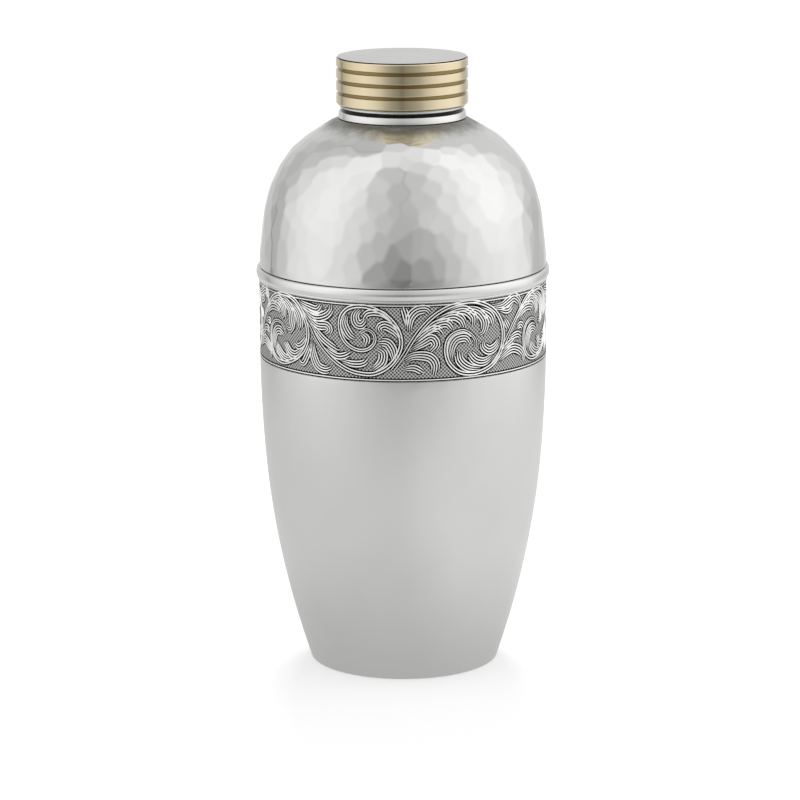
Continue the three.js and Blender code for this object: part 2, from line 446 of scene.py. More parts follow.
@dataclass(frozen=True)
class OxidisedRelief:
    """Pewter darkened with acid and rubbed back: black in the hollows, bright on the crests."""

    name: str
    crest: str
    outline: str
    ground: str
    ground_r: float
    crest_r: float
    punch_mm: float
    punch_depth_mm: float
    wear_mm: float = 2.2
    crest_roughness: float = 0.34
    hollow_roughness: float = 0.62
    tone_stops: tuple[float, ...] = (0.12, 0.21, 0.262, 0.278, 0.48, 0.64)

    def make(self) -> bpy.types.Material:
        """Builds the material.

        Returns:
            A metal coloured by how far a point stands out from the axis, with a punched ground.
        """
        material = bpy.data.materials.new(self.name)
        material.use_nodes = True
        material.node_tree.nodes.clear()
        g = Graph(material.node_tree)
        place = g.add("ShaderNodeTexCoord", out=3)
        x = g.add("ShaderNodeSeparateXYZ", place)
        z = x.node.outputs[2]
        forwards = g.add("ShaderNodeMath", x.node.outputs[1], -1.0, operation="MULTIPLY")
        flat = g.add("ShaderNodeVectorMath", place, (1.0, 1.0, 0.0), operation="MULTIPLY")
        radius = g.add("ShaderNodeVectorMath", flat, operation="LENGTH")
        # 0.25 is the punched ground, 1 a crest, and 0 the foot of a border line
        depth = (self.crest_r - self.ground_r) / 3
        height = g.add(
            "ShaderNodeMapRange", radius, (self.ground_r - depth) * MM, self.crest_r * MM, 0.0, 1.0
        )
        # a whole number of punch marks goes round, so that the pattern meets itself at the back
        bearing = g.add("ShaderNodeMath", x, forwards, operation="ARCTAN2")
        around = round(2 * math.pi * self.crest_r / self.punch_mm)
        waves = []
        for way, rate in ((bearing, float(around)), (z, 2 * math.pi / (self.punch_mm * MM))):
            angle = g.add("ShaderNodeMath", way, rate, operation="MULTIPLY")
            waves.append(g.add("ShaderNodeMath", angle, operation="SINE"))
        punched = g.add("ShaderNodeMath", waves[0], waves[1], operation="MULTIPLY")
        wear = g.add("ShaderNodeTexNoise", place, 1 / (self.wear_mm * MM), 3.0, 0.6)
        worn = g.add("ShaderNodeMath", wear, 0.02, -0.01, operation="MULTIPLY_ADD")
        shown = g.add("ShaderNodeMath", height, worn, operation="ADD")
        ramp = g.add("ShaderNodeValToRGB", shown)
        bar = ramp.node.color_ramp
        tones = (self.outline, self.ground, self.ground, self.outline, self.outline, self.crest)
        while len(bar.elements) < len(tones):
            bar.elements.new(0.5)
        for stop, place_at, tone in zip(bar.elements, self.tone_stops, tones):
            stop.position, stop.color = place_at, linear(tone)
        dots = g.add("ShaderNodeMapRange", punched, -0.4, 0.4, 0.12, 1.0)
        level = g.add("ShaderNodeMapRange", shown, 0.3, 0.5, 0.0, 1.0)
        speckle = g.add("ShaderNodeMath", dots, level, operation="MAXIMUM")
        colour = g.add("ShaderNodeVectorMath", ramp, speckle, operation="SCALE")
        roughness = g.add(
            "ShaderNodeMapRange", shown, 0.1, 0.8, self.hollow_roughness, self.crest_roughness
        )
        hammered = g.add("ShaderNodeMath", 1.0, level, operation="SUBTRACT")
        hammered = g.add("ShaderNodeMath", hammered, punched, operation="MULTIPLY")
        bump = g.add("ShaderNodeBump", 1.0, self.punch_depth_mm * MM, None, hammered)
        shader = g.add(
            "ShaderNodeBsdfPrincipled",
            named={"Base Color": colour, "Metallic": 1.0, "Roughness": roughness, "Normal": bump},
        )
        g.add("ShaderNodeOutputMaterial", shader)
        return material


# Spun pewter cup, finished with fine abrasive on the lathe: broad soft reflections, faint rings.
SATIN_PEWTER = TurnedMetal(
    "pewter satin turned", "d6d6d4", "d3d3d1", 0.34, 0.03, Grain.AROUND, 0.35, 0.0008
)
# Planished pewter, buffed by hand: each hammer mark is a small flat mirror with a soft edge.
# Beside the collar its colour is painted a darker grey, a painted dark reflection of the cap, and it
# is rougher there.
PLANISHED_PEWTER = TurnedMetal(
    "pewter planished buffed", "d7d7d5", "d2d2d0", 0.075, 0.02, Grain.EVERY_WAY, 0.5, 0.0004,
    hollow="8a8983", hollow_r=(25.5, 33.5), hollow_wander=7.0, hollow_roughness=0.40,
)
# Burnished pewter mouldings: the brightest surfaces, with thin highlights.
BURNISHED_PEWTER = TurnedMetal(
    "pewter burnished", "dcdcda", "d4d4d3", 0.15, 0.03, Grain.AROUND, 0.3, 0.0006
)
# The same pewter on the collar, with painted shade: black in the step under the cap's lip.
COLLAR_PEWTER = TurnedMetal(
    "pewter burnished, painted shade in step", "dcdcda", "d4d4d3", 0.17, 0.03, Grain.AROUND, 0.3, 0.0006,
    hollow="20201f", hollow_r=(23.3, 23.9),
)
# Painted shade in the seam round the cap's top disc: nearly black.
SEAM_PAINTED_SHADE = TurnedMetal(
    "painted shade in a seam", "1c1a17", "121110", 0.7, 0.05, Grain.EVERY_WAY, 0.5, 0.004
)
# Pewter left as spun, inside the cup and the dome: greyer and duller than outside.
PLAIN_PEWTER = TurnedMetal(
    "pewter as spun", "c4c4c2", "b6b6b4", 0.42, 0.06, Grain.AROUND, 0.6, 0.003
)
# Pale brass, polished on the lathe, with painted shade in its grooves: warm, with crisp upright
# reflections.
TURNED_BRASS = TurnedMetal(
    "brass polished turned", "dacdae", "d2c3a0", 0.11, 0.03, Grain.AROUND, 0.3, 0.0006,
    hollow="86744d", hollow_r=(24.5, 24.78),
)
# Engraved and darkened pewter: bright ribs with black outlines on a grey punched ground.
SCROLL_RELIEF = OxidisedRelief(
    "pewter engraved oxidised", "f8f8f6", "080808", "cccccb", 54.9, 55.2, 1.4, 0.05
)


# ---- Hammering ----------------------------------------------------------------------------


@dataclass(frozen=True)
class Planishing:
    """Flats left by a planishing hammer: the surface between strikes is what no strike reached.

    Each strike is a plane that just touches the wall, a little tilted. A point of the wall moves
    out to the lowest of those planes, so the planes meet in soft ridges.
    """

    spacing: float
    depth: float
    tilt_deg: float
    seed: int
    passes: int = 1
    strength: float = 1.0
    crowding: float = 12.0
    least_facing: float = 0.6

    def recipe(self, finish: bpy.types.Material) -> Recipe:
        """Builds the tree.

        Args:
            finish: the material of the whole piece.

        Returns:
            A tree that works the faces whose "worked" attribute is above nothing.
        """
        r = Recipe(
            "planishing",
            {
                "Strike spacing": self.spacing * MM,
                "Strike depth": self.depth * MM,
                "Strike tilt": math.radians(self.tilt_deg),
                "Seed": self.seed,
                "Smoothing passes": self.passes,
                "Strength": self.strength,
                "Finish": finish,
            },
        )
        shape = r.given("Shape")
        seed = r.given("Seed")
        worked = r.add("GeometryNodeInputNamedAttribute", "worked", data_type="FLOAT")
        struck = r.add(
            "FunctionNodeCompare", worked, 0.001, data_type="FLOAT", operation="GREATER_THAN"
        )
        crowd = r.add("ShaderNodeMath", r.given("Strike spacing"), -2.0, operation="POWER")
        crowd = r.add("ShaderNodeMath", crowd, self.crowding, operation="MULTIPLY")
        strikes = r.add(
            "GeometryNodeDistributePointsOnFaces",
            shape,
            struck,
            r.given("Strike spacing"),
            crowd,
            1.0,
            seed,
            distribute_method="POISSON",
        )
        wall_way = strikes.node.outputs["Normal"]
        lowest = r.add("ShaderNodeMath", r.given("Strike tilt"), -1.0, operation="MULTIPLY")
        sway = r.add(
            "FunctionNodeRandomValue", lowest, r.given("Strike tilt"), None, seed,
            data_type="FLOAT_VECTOR"
        )
        tilted = r.add("ShaderNodeVectorMath", wall_way, sway, operation="ADD")
        tilted = r.add("ShaderNodeVectorMath", tilted, operation="NORMALIZE")
        strikes = r.add(
            "GeometryNodeStoreNamedAttribute", strikes, None, "way", tilted,
            data_type="FLOAT_VECTOR"
        )
        sunk = r.add(
            "FunctionNodeRandomValue", 0.0, r.given("Strike depth"), None, seed, data_type="FLOAT"
        )
        strikes = r.add(
            "GeometryNodeStoreNamedAttribute", strikes, None, "sunk", sunk, data_type="FLOAT"
        )
        count = r.add("GeometryNodeAttributeDomainSize", strikes, component="POINTCLOUD")
        shape = r.add(
            "GeometryNodeStoreNamedAttribute", shape, None, "lift", 1.0, data_type="FLOAT"
        )

        first = r.tree.nodes.new("GeometryNodeRepeatInput")
        last = r.tree.nodes.new("GeometryNodeRepeatOutput")
        first.pair_with_output(last)
        r.tree.links.new(count, first.inputs["Iterations"])
        r.tree.links.new(shape, first.inputs["Geometry"])
        turn = first.outputs["Iteration"]
        here = r.add("GeometryNodeInputPosition")
        outward = r.add("GeometryNodeInputNormal")
        stored_way = r.add("GeometryNodeInputNamedAttribute", "way", data_type="FLOAT_VECTOR")
        stored_sunk = r.add("GeometryNodeInputNamedAttribute", "sunk", data_type="FLOAT")
        spot = r.add("GeometryNodeSampleIndex", strikes, here, turn, data_type="FLOAT_VECTOR")
        way = r.add("GeometryNodeSampleIndex", strikes, stored_way, turn, data_type="FLOAT_VECTOR")
        low = r.add("GeometryNodeSampleIndex", strikes, stored_sunk, turn, data_type="FLOAT")
        gap = r.add("ShaderNodeVectorMath", spot, here, operation="SUBTRACT")
        reach = r.add("ShaderNodeVectorMath", gap, way, operation="DOT_PRODUCT")
        reach = r.add("ShaderNodeMath", reach, low, operation="SUBTRACT")
        facing = r.add("ShaderNodeVectorMath", outward, way, operation="DOT_PRODUCT")
        lift = r.add("ShaderNodeMath", reach, facing, operation="DIVIDE")
        near = r.add(
            "FunctionNodeCompare", facing, self.least_facing, data_type="FLOAT",
            operation="GREATER_THAN"
        )
        lift = r.add("GeometryNodeSwitch", near, 1.0, lift, input_type="FLOAT")
        so_far = r.add("GeometryNodeInputNamedAttribute", "lift", data_type="FLOAT")
        least = r.add("ShaderNodeMath", so_far, lift, operation="MINIMUM")
        pressed = r.add(
            "GeometryNodeStoreNamedAttribute", first.outputs["Geometry"], None, "lift", least,
            data_type="FLOAT"
        )
        r.tree.links.new(pressed, last.inputs["Geometry"])

        lift = r.add("GeometryNodeInputNamedAttribute", "lift", data_type="FLOAT")
        soft = r.add(
            "GeometryNodeBlurAttribute", lift, r.given("Smoothing passes"), data_type="FLOAT"
        )
        amount = r.add("ShaderNodeMath", soft, worked, operation="MULTIPLY")
        amount = r.add("ShaderNodeMath", amount, r.given("Strength"), operation="MULTIPLY")
        move = r.add("ShaderNodeVectorMath", outward, amount, operation="SCALE")
        moved = r.add("GeometryNodeSetPosition", last.outputs["Geometry"], None, None, move)
        for spent in ("lift", "worked"):
            moved = r.add("GeometryNodeRemoveAttribute", moved, spent)
        r.close(moved)
        return r


# ---- Engraved scroll ----------------------------------------------------------------------


@dataclass(frozen=True)
class Stroke:
    """One leaf or stem of the scroll: its half width and its route, along the band and up it."""

    half: float
    route: tuple[Point, ...]


# Stems: each runs in from the one before and winds up in a spiral.
STEMS = (
    Stroke(0.43, (
        (-80.6, 3), (-75.8, 8), (-71.6, 13.5), (-68, 18.4), (-61.5, 25.5), (-56.5, 28),
        (-52, 28.75), (-47, 28),
        (-43, 25.5), (-40, 21), (-38.5, 16), (-39.5, 11), (-43, 6.5), (-48, 3.75), (-53, 2.5),
        (-58, 3.5),
        (-61, 6.5), (-62, 11), (-61.5, 14.5), (-59.5, 17), (-56.5, 17.9), (-53.5, 17.25),
        (-51.5, 15.5),
        (-50.75, 13.75),
    )),
    Stroke(0.43, (
        (-42, 24.5), (-37, 18.5), (-34.5, 14.5), (-30.5, 10), (-25.5, 6), (-20.5, 3.5),
        (-15.5, 2.5),
        (-10.5, 2.75), (-5.5, 5.5), (-2, 10), (-0.75, 14.5), (-2, 19.5), (-5.5, 24), (-10.5, 27),
        (-15.5, 28),
        (-20.5, 27), (-23.5, 24), (-24.25, 20), (-23, 15.5), (-20, 12.5), (-16, 11.25),
        (-12.5, 12.25),
        (-10.5, 15), (-11, 17.75), (-13.5, 19.25), (-16, 18),
    )),
    Stroke(0.43, (
        (-4, 4), (0, 9.5), (3, 14.5), (6.5, 19.5), (11, 24), (16, 27), (21.5, 28.5), (27, 28.75),
        (32.5, 27),
        (37, 24), (40, 19.5), (41, 14.5), (40, 9.5), (37, 5), (32.5, 2.5), (27, 1.5), (21.5, 2.5),
        (17.5, 6),
        (16, 10.5), (16.75, 15), (19.5, 17.5), (23, 18.1), (26, 16.5), (28, 14), (28, 11.5),
    )),
)

# Leaves: each springs from a stem, swells and ends in a hook.
LEAVES = (
    # round the first spiral
    Stroke(1.3, ((-66.5, 19.5), (-61.5, 23), (-56.5, 23), (-54.5, 21))),
    Stroke(1.3, ((-61.5, 24), (-56.5, 26.2), (-53, 24.5), (-52, 21), (-53.5, 19.5))),
    Stroke(1.7, ((-56.5, 26.2), (-52, 26.5), (-48, 24), (-46.7, 20), (-48, 16), (-50.5, 16.5))),
    Stroke(1.3, ((-48, 26), (-44, 23), (-42.5, 19), (-43.5, 16.5))),
    Stroke(0.85, ((-39, 14.5), (-41, 11.5), (-43.5, 10), (-45.5, 11))),
    Stroke(1.3, ((-41, 9.5), (-45, 6.5), (-48.5, 7), (-50.7, 9.5), (-52, 10.2))),
    Stroke(1.3, ((-47, 4.5), (-52, 4.5), (-56, 7), (-57, 10))),
    Stroke(1.3, ((-58.5, 6), (-59.5, 9.5), (-58, 13.5), (-55, 14.5), (-52, 13))),
    # between the first spiral and the second
    Stroke(1.3, ((-43, 27), (-38, 25.5), (-34, 25), (-32, 27.5))),
    Stroke(1.3, ((-41.5, 25.5), (-35.5, 22.5), (-30.5, 23.5), (-28, 26), (-28, 27.5))),
    Stroke(1.3, ((-38, 22), (-34, 19.5), (-30, 19.5), (-28.7, 18), (-30.5, 16.5))),
    Stroke(0.85, ((-36.5, 19.5), (-31.5, 14.5), (-25.5, 11), (-24, 11))),
    Stroke(0.85, ((-30.5, 11), (-25.5, 8.5), (-22, 9), (-19.75, 10.5))),
    Stroke(0.85, ((-24, 7), (-19, 6), (-15, 6.5), (-13, 8.5))),
    Stroke(1.7, ((-36.5, 13.5), (-36, 8.5), (-34, 4), (-30.5, 2.75), (-27.5, 4))),
    Stroke(0.85, ((-37, 12), (-38.5, 8), (-41, 4), (-43, 5))),
    # round the second spiral
    Stroke(1.3, ((-16, 27), (-18, 24.5), (-17.5, 21.5), (-15.5, 21), (-14, 23))),
    Stroke(1.7, ((-21.5, 25), (-22.5, 21), (-20.5, 17), (-18, 15.5))),
    Stroke(1.3, ((-1, 16), (-3, 19), (-6.5, 21), (-8.75, 20), (-8, 18.5))),
    Stroke(1.3, ((-3, 7.5), (-4, 12), (-6, 14.5), (-9, 14.5))),
    Stroke(1.3, ((-11.5, 4), (-8, 7), (-7.5, 10.5), (-9.5, 12))),
    Stroke(0.85, ((-4, 22.5), (-8, 25.5), (-13, 25.5), (-15, 23))),
    Stroke(0.85, ((-16, 18), (-13.5, 16), (-14, 13.5))),
    # round the third spiral
    Stroke(1.3, ((7.5, 18), (12.5, 21), (16.5, 21.5), (18.75, 19))),
    Stroke(1.3, ((12.5, 22.5), (18.5, 24), (22, 22.5), (23.5, 19.5))),
    Stroke(1.3, ((16.5, 25), (23, 26), (27, 23), (27, 19.5))),
    Stroke(1.7, ((22.5, 26.2), (28.5, 25), (32, 21), (31.5, 17), (29.5, 16))),
    Stroke(1.3, ((30, 25.5), (34.5, 22.5), (36, 19))),
    Stroke(1.3, ((39.5, 13.5), (37, 10.5), (34, 9.5), (31.5, 11.5), (32, 13.5))),
    Stroke(1.3, ((36, 7.5), (32, 5.5), (28, 6.5), (25, 10))),
    Stroke(1.3, ((30, 3), (25, 4), (21.5, 7), (21, 10.5))),
    Stroke(1.3, ((18.5, 7), (18, 11.5), (20, 15), (24, 15.5), (26, 13))),
    # between the second spiral and the third
    Stroke(1.7, ((0, 7.5), (4, 9.5), (9.5, 9), (12, 6), (11.5, 2))),
    Stroke(0.85, ((0, 4.5), (4, 5), (7.5, 3))),
    Stroke(1.3, ((3, 12), (7.5, 14.5), (10.5, 16), (12.2, 13.5), (10, 11))),
    Stroke(0.85, ((4.5, 15), (9.5, 19), (13, 19.5), (15, 17.5))),
    Stroke(1.3, ((2, 18.5), (2.5, 23.5), (5, 26.5), (8.5, 27), (10, 25.5))),
    Stroke(0.85, ((1.5, 21), (1, 25), (0, 28))),
    # between the third spiral and the next repeat
    Stroke(1.3, ((35, 26.5), (40, 25.5), (44, 27), (47, 28), (50, 26), (51, 23.5))),
    Stroke(0.85, ((39, 24.5), (43.5, 23.5), (46, 25.5))),
    Stroke(0.85, ((41.5, 20.5), (44, 16.5))),
    Stroke(0.85, ((44, 12.5), (49, 13.6), (51.5, 12))),
    Stroke(1.3, ((38, 5), (45, 8.5), (50, 7.5), (53, 4.5), (52, 3))),
    Stroke(0.85, ((41, 9), (47, 12))),
    Stroke(0.85, ((48.5, 15.8), (51, 17), (52.8, 15.5))),
)


@dataclass
class ScrollCutter:
    """Lays the scroll's strokes as raised ribs on a round band."""

    pitch: float = 1.02
    rib_half: float = 0.33
    rib_crown: float = 1.15
    bed_half: float = 0.84
    bed_rise: float = 0.08
    step: float = 0.8
    repeats: int = 3
    sides: int = 6

    def recipe(
        self, radius: float, spread: tuple[float, float, float], finish: bpy.types.Material
    ) -> Recipe:
        """Builds the tree.

        Args:
            radius: the band's radius.
            spread: how far the ribs stand apart at root and tip, as a share of their pitch, and how
                much sooner the outer ribs end.
            finish: the material.

        Returns:
            A tree that takes flat strokes, splits each into parallel ribs, wraps them round the
            band and repeats them.
        """
        r = Recipe(
            "scroll ribs",
            {
                "Rib pitch": self.pitch * MM,
                "Rib half width": self.rib_half * MM,
                "Rib crown": self.rib_crown,
                "Bed half width": self.bed_half * MM,
                "Bed rise": self.bed_rise * MM,
                "Step": self.step * MM,
                "Sides": self.sides,
                "Root spread": spread[0],
                "Tip spread": spread[1],
                "Tip stagger": spread[2],
                "Band radius": radius * MM,
                "Repeats": self.repeats,
                "Finish": finish,
            },
        )
        strokes = r.add("GeometryNodeCurveSplineType", r.given("Shape"), spline_type="CATMULL_ROM")
        strokes = r.add("GeometryNodeSetSplineResolution", strokes, None, 10)
        strokes = r.add(
            "GeometryNodeResampleCurve", strokes, None, r.given("Step"), mode="LENGTH"
        )
        half = r.add("GeometryNodeInputRadius")
        gaps = r.add("ShaderNodeMath", half, 2.0, operation="MULTIPLY")
        gaps = r.add("ShaderNodeMath", gaps, r.given("Rib pitch"), operation="DIVIDE")
        gaps = r.add("ShaderNodeMath", gaps, operation="ROUND")
        ribs = r.add("ShaderNodeMath", gaps, 1.0, operation="ADD")
        strokes = r.add(
            "GeometryNodeStoreNamedAttribute", strokes, None, "gaps", gaps, data_type="FLOAT"
        )
        split = r.add("GeometryNodeDuplicateElements", strokes, None, ribs, domain="SPLINE")
        index = split.node.outputs["Duplicate Index"]
        split = r.add(
            "GeometryNodeStoreNamedAttribute",
            split,
            None,
            "rank",
            index,
            data_type="FLOAT",
            domain="CURVE",
        )

        share = r.add("GeometryNodeSplineParameter")
        root = r.add(
            "ShaderNodeMapRange", share, 0.0, 0.5, r.given("Root spread"), 1.0, **SOFT
        )
        tip = r.add(
            "ShaderNodeMapRange", share, 0.7, 1.0, 1.0, r.given("Tip spread"), **SOFT
        )
        spread = r.add("ShaderNodeMath", root, tip, operation="MULTIPLY")
        rank = r.add("GeometryNodeInputNamedAttribute", "rank", data_type="FLOAT")
        stored_gaps = r.add("GeometryNodeInputNamedAttribute", "gaps", data_type="FLOAT")
        across = r.add("ShaderNodeMath", stored_gaps, -0.5, rank, operation="MULTIPLY_ADD")
        across = r.add("ShaderNodeMath", across, r.given("Rib pitch"), operation="MULTIPLY")
        across = r.add("ShaderNodeMath", across, spread, operation="MULTIPLY")
        tangent = r.add("GeometryNodeInputTangent")
        side = r.add("ShaderNodeVectorMath", tangent, (0.0, 0.0, 1.0), operation="CROSS_PRODUCT")
        shift = r.add("ShaderNodeVectorMath", side, across, operation="SCALE")
        laid = r.add("GeometryNodeSetPosition", split, None, None, shift)
        aside = r.add("ShaderNodeMath", rank, stored_gaps, operation="DIVIDE")
        aside = r.add("ShaderNodeMath", aside, 0.5, operation="SUBTRACT")
        aside = r.add("ShaderNodeMath", aside, aside, operation="MULTIPLY")
        aside = r.add("ShaderNodeMath", aside, r.given("Tip stagger"), operation="MULTIPLY")
        end = r.add("ShaderNodeMath", 1.0, aside, operation="SUBTRACT")
        first = r.add("ShaderNodeMath", aside, 0.7, operation="MULTIPLY")
        laid = r.add("GeometryNodeTrimCurve", laid, None, first, end, mode="FACTOR")

        start = r.add("ShaderNodeMapRange", share, 0.0, 0.3, 0.62, 1.0, **SOFT)
        stop = r.add("ShaderNodeMapRange", share, 0.86, 1.0, 1.0, 0.7, **SOFT)
        girth = r.add("ShaderNodeMath", start, stop, operation="MULTIPLY")
        thick = r.add("ShaderNodeMath", spread, 0.6, 0.4, operation="MULTIPLY_ADD")
        thick = r.add("ShaderNodeMath", thick, girth, operation="MULTIPLY")
        thick = r.add("ShaderNodeMath", thick, r.given("Rib half width"), operation="MULTIPLY")
        ring = r.add("GeometryNodeCurvePrimitiveCircle", r.given("Sides"), 1.0, mode="RADIUS")
        tubes = r.add("GeometryNodeCurveToMesh", laid, ring, thick, True)
        tall = r.add("ShaderNodeCombineXYZ", 1.0, 1.0, r.given("Rib crown"))
        tubes = r.add("GeometryNodeTransform", tubes, None, None, tall)
        # the bed: the same route as a low wide strip, which shows as the dark outline
        wide = r.add("ShaderNodeMath", girth, r.given("Bed half width"), operation="MULTIPLY")
        lozenge = r.add("GeometryNodeCurvePrimitiveCircle", 4, 1.0, mode="RADIUS")
        beds = r.add("GeometryNodeCurveToMesh", laid, lozenge, wide, True)
        flat = r.add(
            "ShaderNodeMath", r.given("Bed rise"), r.given("Bed half width"), operation="DIVIDE"
        )
        flat = r.add("ShaderNodeCombineXYZ", 1.0, 1.0, flat)
        beds = r.add("GeometryNodeTransform", beds, None, None, flat)
        tubes = r.add("GeometryNodeJoinGeometry", tubes)
        r.tree.links.new(beds, tubes.node.inputs[0])

        here = r.add("GeometryNodeInputPosition")
        u = r.add("ShaderNodeSeparateXYZ", here)
        v, h = u.node.outputs[1], u.node.outputs[2]
        angle = r.add("ShaderNodeMath", u, r.given("Band radius"), operation="DIVIDE")
        out = r.add("ShaderNodeMath", h, r.given("Band radius"), operation="ADD")
        sine = r.add("ShaderNodeMath", angle, operation="SINE")
        cosine = r.add("ShaderNodeMath", angle, operation="COSINE")
        x = r.add("ShaderNodeMath", sine, out, operation="MULTIPLY")
        y = r.add("ShaderNodeMath", cosine, out, operation="MULTIPLY")
        y = r.add("ShaderNodeMath", y, -1.0, operation="MULTIPLY")
        wrapped = r.add("ShaderNodeCombineXYZ", x, y, v)
        tubes = r.add("GeometryNodeSetPosition", tubes, None, wrapped)

        spots = r.add("GeometryNodePoints", r.given("Repeats"))
        number = r.add("GeometryNodeInputIndex")
        turn = r.add("ShaderNodeMath", 2 * math.pi, r.given("Repeats"), operation="DIVIDE")
        turn = r.add("ShaderNodeMath", turn, number, operation="MULTIPLY")
        facing = r.add("ShaderNodeCombineXYZ", 0.0, 0.0, turn)
        copies = r.add("GeometryNodeInstanceOnPoints", spots, None, tubes, None, None, facing)
        smooth = r.add("GeometryNodeSetShadeSmooth", copies, None, True)
        r.close(smooth)
        return r

    def cut(
        self,
        name: str,
        strokes: Iterable[Stroke],
        spread: tuple[float, float, float],
        place: tuple[float, float, float],
        finish: bpy.types.Material,
    ) -> bpy.types.Object:
        """Makes the ribs of some strokes.

        Args:
            name: the piece's name.
            strokes: leaves or stems.
            spread: how far the ribs stand apart at root and tip, as a share of their pitch, and how
                much sooner the outer ribs end.
            place: the band's radius, the height of the strokes' own zero, and the ribs' sink.
            finish: the material.

        Returns:
            The ribs as one plain mesh.
        """
        radius, foot, sink = place
        curve = bpy.data.curves.new(name, "CURVE")
        curve.dimensions = "3D"
        for stroke in strokes:
            spline = curve.splines.new("POLY")
            spline.points.add(len(stroke.route) - 1)
            for point, (u, v) in zip(spline.points, stroke.route):
                point.co = (u * MM, (v + foot) * MM, -sink * MM, 1.0)
                point.radius = stroke.half * MM
        return self.recipe(radius, spread, finish).run(name, placed(name, curve))


# ---- Cup ----------------------------------------------------------------------------------


@dataclass
class Cup:
    """The tapering cup with its engraved band and its rim bead."""

    foot_r: float = 36.24
    foot_lean_deg: float = 17.44
    foot_edge_r: float = 1.2
    foot_straight: float = 9.6
    arcs: tuple[Point, ...] = ((334.0, 12.62), (498.0, 4.82))
    wall: float = 1.5
    floor: float = 2.2
    floor_fillet: float = 6.0
    rim_r: float = 54.95
    rim_z: float = 155.3
    seat_r: float = 54.35
    band_z: Point = (120.6, 150.1)
    band_thickness: float = 0.5
    band_gap: float = 0.15
    ground_r: float = 54.9
    border_r: float = 55.1
    border_line: float = 0.45
    border_fillet: float = 0.45
    line_r: float = 54.78
    scroll_foot: float = 121.0
    rib_sink: float = 0.02
    bead_z: Point = (150.4, 155.3)
    bead_r: float = 56.2
    bead_flat: float = 0.3
    lathe: Lathe = field(default_factory=lambda: Lathe(288))
    hammering: Planishing = Planishing(7.5, 0.0, 0.8, 11, 3, 0.6)
    hammered_below_band: float = 26.0
    outside_step: float = 1.1
    inside_step: float = 6.0
    cutter: ScrollCutter = field(default_factory=ScrollCutter)

    def outer_wall(self) -> list[Point]:
        """Gives the outside of the wall from the foot to above the rim."""
        step = self.outside_step
        lean = math.radians(self.foot_lean_deg)
        start = (self.foot_r, 0.0)
        top = (
            self.foot_r + self.foot_straight * math.sin(lean),
            self.foot_straight * math.cos(lean),
        )
        return [
            start, *straight(start, top, step), *arc_chain(top, self.foot_lean_deg, self.arcs, step)
        ]

    def shell(self) -> bpy.types.Object:
        """Turns the cup's wall and floor, hammered faintly under the band."""
        low, high = self.band_z[0] - self.band_gap, self.band_z[1] + self.band_gap
        knots = [Knot(0.0, 0.0), Knot(self.foot_r, 0.0, self.foot_edge_r)]
        for r, z in self.outer_wall():
            if 2 * self.foot_edge_r < z < low:
                under = (z - (low - self.hammered_below_band)) / self.hammered_below_band
                force = 0.004 + 0.996 * ease(under) * ease((low - z) / 2.5)
                knots.append(Knot(r, z, 0.0, force if under > -0.4 else 0.0))
        last = knots[-1]
        knots += [
            Knot(last.r, low, 0.1),
            Knot(self.seat_r, low),
            Knot(self.seat_r, high),
            Knot(self.rim_r, high),
            Knot(self.rim_r, self.rim_z, 0.3),
            Knot(self.rim_r - self.wall, self.rim_z, 0.3),
        ]
        lean = math.radians(self.foot_lean_deg)
        start = (self.foot_r - self.wall * math.cos(lean), self.wall * math.sin(lean))
        top = (
            start[0] + self.foot_straight * math.sin(lean),
            start[1] + self.foot_straight * math.cos(lean),
        )
        thinner = [(radius - self.wall, sweep) for radius, sweep in self.arcs]
        inner = arc_chain(top, self.foot_lean_deg, thinner, self.inside_step)
        knots += [Knot(r, z) for r, z in reversed(inner) if r < self.rim_r - self.wall]
        rise = (self.floor - start[1]) * math.tan(lean)
        knots += [Knot(start[0] + rise, self.floor, self.floor_fillet), Knot(0.0, self.floor)]
        host = self.lathe.turn("cup wall", knots, closed=False)
        return self.hammering.recipe(SATIN_PEWTER.make()).run("cup_body", host)

    def band(self, finish: bpy.types.Material) -> bpy.types.Object:
        """Turns the band's ground between its two border fillets."""
        low, high = self.band_z
        back = self.border_r - self.band_thickness
        line, fillet, slope = self.border_line, self.border_fillet, 0.06
        lower = [
            Knot(back, low),
            Knot(self.border_r, low, 0.03),
            Knot(self.border_r, low + slope),
            Knot(self.line_r, low + 2 * slope),
            Knot(self.line_r, low + line),
            Knot(self.border_r, low + line + slope, 0.05),
            Knot(self.border_r, low + line + fillet, 0.05),
            Knot(self.line_r, low + line + fillet + slope),
            Knot(self.line_r, low + 2 * line + fillet),
            Knot(self.ground_r, low + 2 * line + fillet + slope),
        ]
        upper = [Knot(k.r, low + high - k.z, k.rounding) for k in reversed(lower)]
        knots = lower + upper
        piece = self.lathe.turn("scroll_band_ground", knots)
        piece.data.materials.append(finish)
        return piece

    def bead(self) -> bpy.types.Object:
        """Turns the half-round bead that stiffens the rim."""
        low, high = self.bead_z
        inner = self.rim_r + 0.02
        middle = (low + high) / 2 + 0.35
        half = high - middle
        knots = [
            Knot(inner, low), Knot(inner + 0.45, low, 0.12), Knot(inner + 0.5, low + 0.75, 0.15)
        ]
        centre = inner + self.bead_flat
        bulge = self.bead_r - inner - self.bead_flat
        for k in range(13):
            angle = math.radians(-90 + 15 * k)
            out, up = bulge * math.cos(angle), half * math.sin(angle)
            knots.append(Knot(centre + out, middle + up))
        knots.append(Knot(inner, high))
        piece = self.lathe.turn("rim_bead_ring", knots)
        piece.data.materials.append(BURNISHED_PEWTER.make())
        return piece

